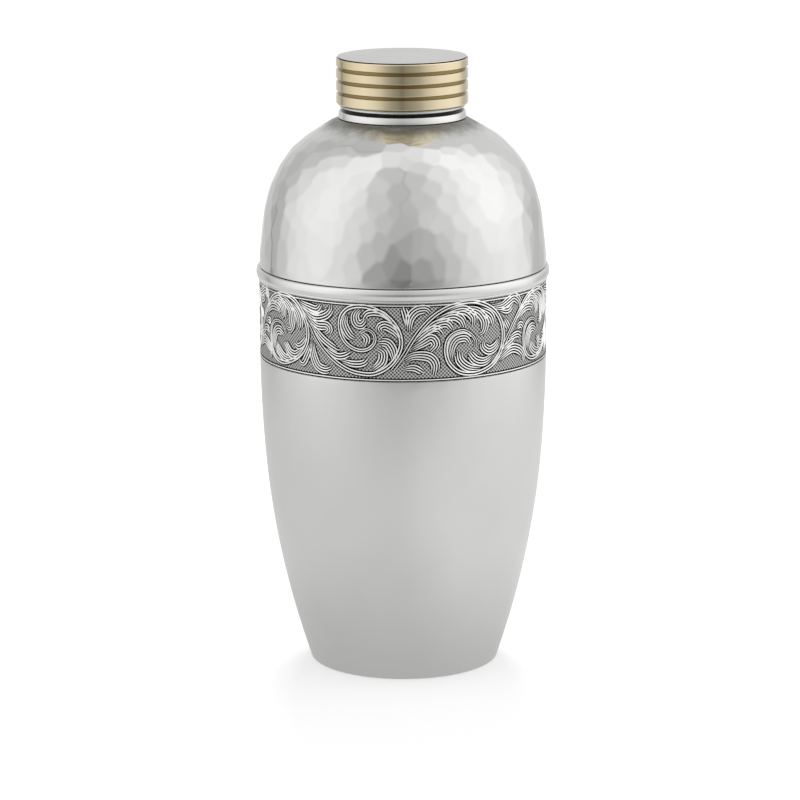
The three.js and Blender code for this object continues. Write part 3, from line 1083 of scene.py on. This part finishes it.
    def build(self) -> list[bpy.types.Object]:
        """Makes the cup's pieces and seats them on its body.

        Returns:
            The pieces.
        """
        shell = self.shell()
        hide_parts("cup_shell")
        finish = SCROLL_RELIEF.make()
        band = self.band(finish)
        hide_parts("engraved_band")
        place = (self.ground_r, self.scroll_foot, self.rib_sink)
        stems = self.cutter.cut("scroll_stems", STEMS, (1.0, 0.7, 0.0), place, finish)
        leaves = self.cutter.cut("scroll_leaves", LEAVES, (0.62, 0.8, 0.44), place, finish)
        bead = self.bead()
        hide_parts("rim_bead")
        pieces = [shell, band, stems, leaves, bead]
        for piece in pieces:
            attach(piece, Body.CUP.value)
        return pieces


# ---- Dome ---------------------------------------------------------------------------------


@dataclass
class Dome:
    """The hammered dome with its skirt, neck, collar and strainer."""

    edge_z: float = 155.6
    edge_r: float = 54.95
    lean_deg: float = -1.82
    arcs: tuple[Point, ...] = ((151.4, 7.93), (50.2, 21.25), (37.65, 29.4))
    top_r: float = 24.6
    wall: float = 1.3
    skirt_r: float = 53.05
    skirt_wall: float = 1.1
    skirt_z: Point = (147.3, 160.0)
    neck_r: float = 22.0
    neck_wall: float = 1.2
    neck_z: Point = (209.3, 227.5)
    collar_r: Point = (24.45, 24.0)
    collar_z: Point = (212.04, 214.65)
    cap_seat_r: float = 23.2
    cap_seat_z: float = 215.7
    plate_z: float = 210.6
    plate_thickness: float = 1.2
    plate_r: float = 20.5
    hole_r: float = 2.0
    hole_ring: float = 6.6
    rings: int = 2
    seam_gap: float = 0.3
    outside_step: float = 0.72
    inside_step: float = 4.0
    lathe: Lathe = field(default_factory=lambda: Lathe(448))
    small_lathe: Lathe = field(default_factory=lambda: Lathe(192))
    hammering: Planishing = Planishing(5.9, 0.02, 2.3, 7, 0, 1.0)

    def shell(self) -> bpy.types.Object:
        """Turns the dome's wall and hammers its outside."""
        outer = arc_chain((self.edge_r, self.edge_z), self.lean_deg, self.arcs, self.outside_step)
        end_lean = math.radians(-self.lean_deg + sum(sweep for _, sweep in self.arcs))
        r, z = outer[-1]
        rise = (r - self.top_r) / math.tan(end_lean)
        crown = (self.top_r, z + rise)
        outer += [*straight(outer[-1], crown, self.outside_step), crown]
        last = len(outer) - 1
        knots = [
            Knot(
                r, z, 0.12 if i in (0, last) else 0.0, ease((i - 1) / 4) * ease((last - 1 - i) / 3)
            )
            for i, (r, z) in enumerate(outer)
        ]
        knots.append(Knot(self.neck_r + self.seam_gap, crown[1]))
        lean = math.radians(self.lean_deg)
        start = (self.edge_r - self.wall * math.cos(lean), self.edge_z)
        thinner = [(radius - self.wall, sweep) for radius, sweep in self.arcs]
        inner = arc_chain(start, self.lean_deg, thinner, self.inside_step)
        reach = (inner[-1][0] - self.neck_r - self.seam_gap) / math.tan(end_lean)
        knots.append(Knot(self.neck_r + self.seam_gap, inner[-1][1] + reach))
        knots += [Knot(r, z) for r, z in reversed(inner)]
        host = self.lathe.turn("dome wall", knots)
        return self.hammering.recipe(PLANISHED_PEWTER.make()).run("dome_body", host)

    def ring(self, name: str, finish: TurnedMetal, *knots: Knot) -> bpy.types.Object:
        """Turns a small ring of the dome.

        Args:
            name: the piece's name.
            finish: its metal.
            knots: its closed section.

        Returns:
            The piece.
        """
        piece = self.small_lathe.turn(name, knots)
        piece.data.materials.append(finish.make())
        return piece

    def strainer(self) -> bpy.types.Object:
        """Cuts the strainer plate: a disc with a hole in the middle and rings of holes round it."""
        r = Recipe(
            "strainer plate",
            {
                "Plate radius": self.plate_r * MM,
                "Plate height": self.plate_z * MM,
                "Thickness": self.plate_thickness * MM,
                "Hole radius": self.hole_r * MM,
                "Ring step": self.hole_ring * MM,
                "Finish": PLAIN_PEWTER.make(),
            },
        )
        disc = r.add("GeometryNodeCurvePrimitiveCircle", 96, r.given("Plate radius"), mode="RADIUS")
        hole = r.add("GeometryNodeCurvePrimitiveCircle", 20, r.given("Hole radius"), mode="RADIUS")
        outline = [disc, hole]
        for ring in range(1, self.rings + 1):
            reach = r.add("ShaderNodeMath", r.given("Ring step"), float(ring), operation="MULTIPLY")
            path = r.add("GeometryNodeCurvePrimitiveCircle", 6 * ring, reach, mode="RADIUS")
            outline.append(r.add("GeometryNodeInstanceOnPoints", path, None, hole))
        joined = r.add("GeometryNodeJoinGeometry")
        for part in outline:
            r.tree.links.new(part, joined.node.inputs[0])
        flat = r.add("GeometryNodeRealizeInstances", joined)
        flat = r.add("GeometryNodeFillCurve", flat, mode="NGONS")
        lift = r.add("ShaderNodeCombineXYZ", 0.0, 0.0, r.given("Thickness"))
        thick = r.add("GeometryNodeExtrudeMesh", flat, None, lift, 1.0, False, mode="FACES")
        under = r.add("GeometryNodeFlipFaces", flat)
        both = r.add("GeometryNodeJoinGeometry")
        for part in (thick, under):
            r.tree.links.new(part, both.node.inputs[0])
        solid = r.add("GeometryNodeMergeByDistance", both, None, 1e-6)
        raise_by = r.add("ShaderNodeCombineXYZ", 0.0, 0.0, r.given("Plate height"))
        solid = r.add("GeometryNodeTransform", solid, raise_by)
        r.close(solid)
        host = placed("plate blank", bpy.data.meshes.new("plate blank"))
        piece = r.run("strainer_disc", host)
        face_outwards(piece.data, math.radians(30))
        return piece

    def build(self) -> list[bpy.types.Object]:
        """Makes the dome's pieces and seats them on its body.

        Returns:
            The pieces.
        """
        shell = self.shell()
        low, high = self.skirt_z
        skirt = self.ring(
            "dome_locating_skirt",
            PLAIN_PEWTER,
            Knot(self.skirt_r - self.skirt_wall, low, 0.2),
            Knot(self.skirt_r, low, 0.4),
            Knot(self.skirt_r, high, 0.2),
            Knot(self.skirt_r - self.skirt_wall, high, 0.2),
        )
        low, high = self.neck_z
        neck = self.ring(
            "neck_pipe",
            PLAIN_PEWTER,
            Knot(self.neck_r - self.neck_wall, low, 0.2),
            Knot(self.neck_r, low, 0.2),
            Knot(self.neck_r, high, 0.5),
            Knot(self.neck_r - self.neck_wall, high, 0.3),
        )
        inner = self.neck_r + self.seam_gap
        low, high = self.collar_z
        collar = self.ring(
            "neck_collar_ring",
            COLLAR_PEWTER,
            Knot(inner, low),
            Knot(self.collar_r[0], low, 0.15),
            Knot(self.collar_r[1], high, 0.45),
            Knot(self.cap_seat_r, high, 0.1),
            Knot(self.cap_seat_r, self.cap_seat_z, 0.15),
            Knot(inner, self.cap_seat_z),
        )
        strainer = self.strainer()
        dressed = {
            "dome_shell": (shell, Slot.BRIGHT),
            "dome_skirt": (skirt, Slot.SATIN),
            "neck_tube": (neck, Slot.SATIN),
            "neck_collar": (collar, Slot.BRIGHT),
            "strainer_plate": (strainer, Slot.SATIN),
        }
        for node, (piece, slot) in dressed.items():
            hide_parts(node)
            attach(piece, Body.DOME.value)
        return [piece for piece, _ in dressed.values()]


# ---- Cap ----------------------------------------------------------------------------------


@dataclass
class Cap:
    """The pewter cap and its ribbed brass sleeve."""

    lip_z: float = 216.0
    top_z: float = 235.2
    bore_r: float = 22.3
    wall_r: float = 23.5
    ceiling_z: float = 233.9
    flange_r: float = 24.45
    flange_z: float = 234.4
    seam_r: float = 24.05
    seam_top_z: float = 235.05
    lip_r: float = 23.75
    lip_height: float = 0.7
    sleeve_r: float = 25.05
    sleeve_bore: float = 23.8
    sleeve_z: Point = (217.0, 234.75)
    rebate_r: float = 24.75
    rebate_z: float = 234.1
    foot_chamfer: float = 0.7
    head_chamfer: float = 0.35
    groove_first: float = 221.9
    groove_pitch: float = 4.55
    groove_count: int = 3
    groove_half: float = 0.5
    groove_depth: float = 0.6
    groove_chamfer: float = 0.25
    row: float = 0.12
    lathe: Lathe = field(default_factory=lambda: Lathe(192))

    def body(self) -> bpy.types.Object:
        """Turns the pewter cap: closed top with a satin face, open foot with a thin lip."""
        knots = [
            Knot(0.0, self.ceiling_z),
            Knot(self.bore_r, self.ceiling_z, 0.6),
            Knot(self.bore_r, self.lip_z, 0.2),
            Knot(self.lip_r, self.lip_z, 0.25),
            Knot(self.lip_r, self.lip_z + self.lip_height, 0.15),
            Knot(self.wall_r, self.lip_z + self.lip_height),
            Knot(self.wall_r, self.flange_z),
            Knot(self.seam_r, self.flange_z),
            Knot(self.seam_r, self.seam_top_z),
            Knot(self.flange_r, self.seam_top_z, 0.04),
            Knot(self.flange_r, self.top_z, 0.05),
            Knot(self.flange_r * 0.6, self.top_z),
            Knot(0.0, self.top_z),
        ]
        piece = self.lathe.turn("cap_body", knots, closed=False)
        piece.data.materials.append(SATIN_PEWTER.make())
        # the second slot is the nearly black painted shade, put on the faces in the seam under the
        # top disc's edge
        piece.data.materials.append(SEAM_PAINTED_SHADE.make())
        for face in piece.data.polygons:
            x, y, z = face.center
            in_seam = self.flange_z * MM < z < (self.seam_top_z + 0.01) * MM
            face.material_index = int(in_seam and math.hypot(x, y) > (self.seam_r - 0.1) * MM)
        return piece

    def sleeve(self) -> bpy.types.Object:
        """Turns the brass sleeve as a plain tube and sinks its grooves."""
        low, high = self.sleeve_z
        foot = (self.sleeve_r, low + self.foot_chamfer)
        head = (self.sleeve_r, high - self.head_chamfer)
        knots = [
            Knot(self.sleeve_bore, low, 0.1),
            Knot(self.sleeve_r - self.foot_chamfer, low, 0.1),
            Knot(*foot, 0.0, 1.0),
            *(Knot(r, z, 0.0, 1.0) for r, z in straight(foot, head, self.row)),
            Knot(*head, 0.0, 1.0),
            Knot(self.rebate_r, high, 0.03),
            Knot(self.rebate_r, self.rebate_z),
            Knot(self.sleeve_bore, self.rebate_z),
        ]
        r = Recipe(
            "sleeve grooves",
            {
                "First groove": self.groove_first * MM,
                "Groove pitch": self.groove_pitch * MM,
                "Last groove": float(self.groove_count - 1),
                "Half width": self.groove_half * MM,
                "Chamfer": self.groove_chamfer * MM,
                "Depth": self.groove_depth * MM,
                "Finish": TURNED_BRASS.make(),
            },
        )
        here = r.add("GeometryNodeInputPosition")
        z = r.add("ShaderNodeSeparateXYZ", here).node.outputs[2]
        up = r.add("ShaderNodeMath", z, r.given("First groove"), operation="SUBTRACT")
        rank = r.add("ShaderNodeMath", up, r.given("Groove pitch"), operation="DIVIDE")
        rank = r.add("ShaderNodeMath", rank, operation="ROUND")
        rank = r.add("ShaderNodeClamp", rank, 0.0, r.given("Last groove"))
        middle = r.add("ShaderNodeMath", rank, r.given("Groove pitch"), operation="MULTIPLY")
        away = r.add("ShaderNodeMath", up, middle, operation="SUBTRACT")
        away = r.add("ShaderNodeMath", away, operation="ABSOLUTE")
        edge = r.add("ShaderNodeMath", r.given("Half width"), r.given("Chamfer"), operation="ADD")
        sunk = r.add(
            "ShaderNodeMapRange",
            away,
            r.given("Half width"),
            edge,
            r.given("Depth"),
            0.0,
            **SOFT,
        )
        worked = r.add("GeometryNodeInputNamedAttribute", "worked", data_type="FLOAT")
        sunk = r.add("ShaderNodeMath", sunk, worked, operation="MULTIPLY")
        inward = r.add("ShaderNodeVectorMath", here, (-1.0, -1.0, 0.0), operation="MULTIPLY")
        inward = r.add("ShaderNodeVectorMath", inward, operation="NORMALIZE")
        move = r.add("ShaderNodeVectorMath", inward, sunk, operation="SCALE")
        cut = r.add("GeometryNodeSetPosition", r.given("Shape"), None, None, move)
        r.close(r.add("GeometryNodeRemoveAttribute", cut, "worked"))
        piece = r.run("cap_brass_sleeve", self.lathe.turn("sleeve tube", knots))
        face_outwards(piece.data, math.radians(50))
        return piece

    def build(self) -> list[bpy.types.Object]:
        """Makes the cap's pieces and seats them on its body.

        Returns:
            The pieces.
        """
        body, sleeve = self.body(), self.sleeve()
        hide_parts("cap_cup")
        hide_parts("cap_sleeve")
        for piece in (body, sleeve):
            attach(piece, Body.CAP.value)
        return [body, sleeve]


# ---- Studio -------------------------------------------------------------------------------


@dataclass
class Studio:
    """A white sweep, soft light from all round with a darker gap at the camera, and the camera."""

    distance: float = 1.3172
    height: float = 0.3970
    pitch_deg: float = 12.64
    yaw_deg: float = 0.056
    roll_deg: float = -0.227
    lens: float = 157.06
    sensor: float = 36.0
    floor_half: float = 4.0
    # brightness of the surroundings by bearing in degrees: 0 is behind the camera, 90 its right
    walls_low: tuple[Point, ...] = (
        (-180, 0.95), (-160, 0.72), (-146, 0.74), (-136, 0.66), (-131, 0.34), (-126, 0.62),
        (-112, 0.86),
        (-92, 1.08), (-70, 1.16), (-50, 1.0), (-40, 0.86), (-28, 0.60), (-18, 0.44), (-6, 0.33),
        (0, 0.25),
        (6, 0.33), (18, 0.42), (30, 0.52), (42, 0.76), (55, 0.95), (70, 1.12), (95, 1.22),
        (112, 1.16),
        (122, 1.0), (130, 0.72), (142, 0.64), (160, 0.72), (180, 0.95),
    )
    walls_high: tuple[Point, ...] = (
        (-180, 0.80), (-155, 0.78), (-142, 0.66), (-130, 0.68), (-115, 0.95), (-100, 1.12),
        (-80, 1.25),
        (-60, 1.25), (-40, 1.04), (-20, 0.82), (0, 0.66), (20, 0.82), (40, 0.98), (60, 1.22),
        (85, 1.4),
        (110, 1.35), (125, 1.1), (140, 0.88), (155, 0.85), (180, 0.80),
    )
    walls_top: float = 1.5
    ceiling: float = 1.06
    # the floor as seen in the metal: fades out far off, painted shade near the shaker, painted light
    # to the right
    front_floor: Point = (0.36, 0.73)
    contact_reach: Point = (0.04, 0.13)
    contact_shade: Point = (0.62, 0.82)
    right_gain: float = 0.12
    floor_white: str = "cccccc"
    floor_lift: float = 0.42
    lamp_place: tuple[float, float, float] = (0.0, 0.75, 0.85)
    lamp_size: float = 0.35
    lamp_watts: float = 5.0

    def camera(self) -> None:
        """Sets the camera in front of the shaker, a little above its middle."""
        data = bpy.data.cameras.new("camera")
        data.lens, data.sensor_width, data.clip_end = self.lens, self.sensor, 30.0
        eye = placed("camera", data)
        eye.matrix_world = (
            Matrix.Translation((0.0, -self.distance, self.height))
            @ Matrix.Rotation(math.radians(self.yaw_deg), 4, "Z")
            @ Matrix.Rotation(math.radians(90 - self.pitch_deg), 4, "X")
            @ Matrix.Rotation(math.radians(self.roll_deg), 4, "Z")
        )
        bpy.context.scene.camera = eye

    def surroundings(self) -> None:
        """Makes the soft light: walls by bearing, a ceiling, and plain white behind the object."""
        world = bpy.data.worlds.new("studio")
        bpy.context.scene.world = world
        world.use_nodes = True
        world.node_tree.nodes.clear()
        g = Graph(world.node_tree)
        way = g.add("ShaderNodeTexCoord")
        x = g.add("ShaderNodeSeparateXYZ", way)
        y, z = x.node.outputs[1], x.node.outputs[2]
        behind = g.add("ShaderNodeMath", y, -1.0, operation="MULTIPLY")
        bearing = g.add("ShaderNodeMath", x, behind, operation="ARCTAN2")
        share = g.add("ShaderNodeMapRange", bearing, -math.pi, math.pi, 0.0, 1.0)
        levels = []
        for walls in (self.walls_low, self.walls_high):
            ramp = g.add("ShaderNodeValToRGB", share)
            bar = ramp.node.color_ramp
            while len(bar.elements) < len(walls):
                bar.elements.new(0.5)
            for stop, (degrees, level) in zip(bar.elements, walls):
                grey = level / self.walls_top
                stop.position, stop.color = (degrees + 180) / 360, (grey, grey, grey, 1.0)
            levels.append(g.add("ShaderNodeMath", ramp, self.walls_top, operation="MULTIPLY"))
        higher = g.add("ShaderNodeMapRange", z, -0.13, 0.25, 0.0, 1.0, **SOFT)
        wall = g.add("ShaderNodeMix", higher, *levels, data_type="FLOAT")
        overhead = g.add("ShaderNodeMapRange", z, 0.93, 1.0, 0.0, 1.0, **SOFT)
        level = g.add("ShaderNodeMix", overhead, wall, self.ceiling, data_type="FLOAT")
        seen = g.add("ShaderNodeLightPath")
        shown = g.add("ShaderNodeMix", seen, level, 1.0, data_type="FLOAT")
        light = g.add("ShaderNodeBackground", (1.0, 1.0, 1.0, 1.0), shown)
        g.add("ShaderNodeOutputWorld", light)

    def lamp(self) -> None:
        """Hangs a soft lamp above and behind, so that the shadow falls forwards on the floor."""
        data = bpy.data.lights.new("back lamp", "AREA")
        data.size, data.energy = self.lamp_size, self.lamp_watts
        lamp = placed("back lamp", data)
        place = Vector(self.lamp_place)
        aim = place.to_track_quat("Z", "Y").to_matrix().to_4x4()
        lamp.matrix_world = Matrix.Translation(place) @ aim
        lamp.visible_glossy = False

    def floor(self) -> None:
        """Lays the pale sweep that the shaker stands on."""
        half = self.floor_half
        mesh = bpy.data.meshes.new("studio_floor")
        mesh.from_pydata(
            [(-half, -half, 0), (half, -half, 0), (half, half, 0), (-half, half, 0)],
            [],
            [(0, 1, 2, 3)],
        )
        sweep = placed("studio_floor", mesh)
        material = bpy.data.materials.new("white sweep, matt")
        material.use_nodes = True
        material.node_tree.nodes.clear()
        g = Graph(material.node_tree)
        matt = g.add("ShaderNodeBsdfDiffuse", linear(self.floor_white), 0.0)
        lift = g.add("ShaderNodeEmission", (1.0, 1.0, 1.0, 1.0), self.floor_lift)
        lifted = g.add("ShaderNodeAddShader", matt, lift)
        place = g.add("ShaderNodeTexCoord", out=3)
        away = g.add("ShaderNodeVectorMath", place, operation="LENGTH")
        gone = g.add("ShaderNodeMapRange", away, *self.front_floor, 0.0, 1.0, **SOFT)
        nothing = g.add("ShaderNodeBsdfTransparent")
        # seen in the metal, the floor is a glow: painted shade darker near the shaker, painted light
        # brighter to the right
        shade = g.add("ShaderNodeMapRange", away, *self.contact_reach, *self.contact_shade)
        side = g.add("ShaderNodeSeparateXYZ", place)
        painted_right_light = g.add("ShaderNodeMapRange", side, 0.0, 0.06, 0.0, self.right_gain)
        painted_floor_glow = g.add("ShaderNodeMath", shade, painted_right_light, operation="ADD")
        pale = g.add("ShaderNodeEmission", (1.0, 1.0, 1.0, 1.0), painted_floor_glow)
        mirrored = g.add("ShaderNodeMixShader", gone, pale, nothing)
        seen = g.add("ShaderNodeLightPath")
        shown = g.add("ShaderNodeMixShader", seen, mirrored, lifted)
        g.add("ShaderNodeOutputMaterial", shown)
        mesh.materials.append(material)

    def build(self) -> None:
        """Sets up the camera, the light and the floor."""
        bpy.context.scene.view_settings.view_transform = "Standard"
        self.camera()
        self.surroundings()
        self.lamp()
        self.floor()


def main() -> None:
    """Builds the studio and the shaker, and reports each piece."""
    logging.basicConfig(level=logging.INFO, format="%(name)s: %(message)s")
    Studio().build()
    for part in (Cup(), Dome(), Cap()):
        for piece in part.build():
            log.info("%s: %s, %d faces", type(part).__name__, piece.name, len(piece.data.polygons))


if __name__ == "__main__":
    main()
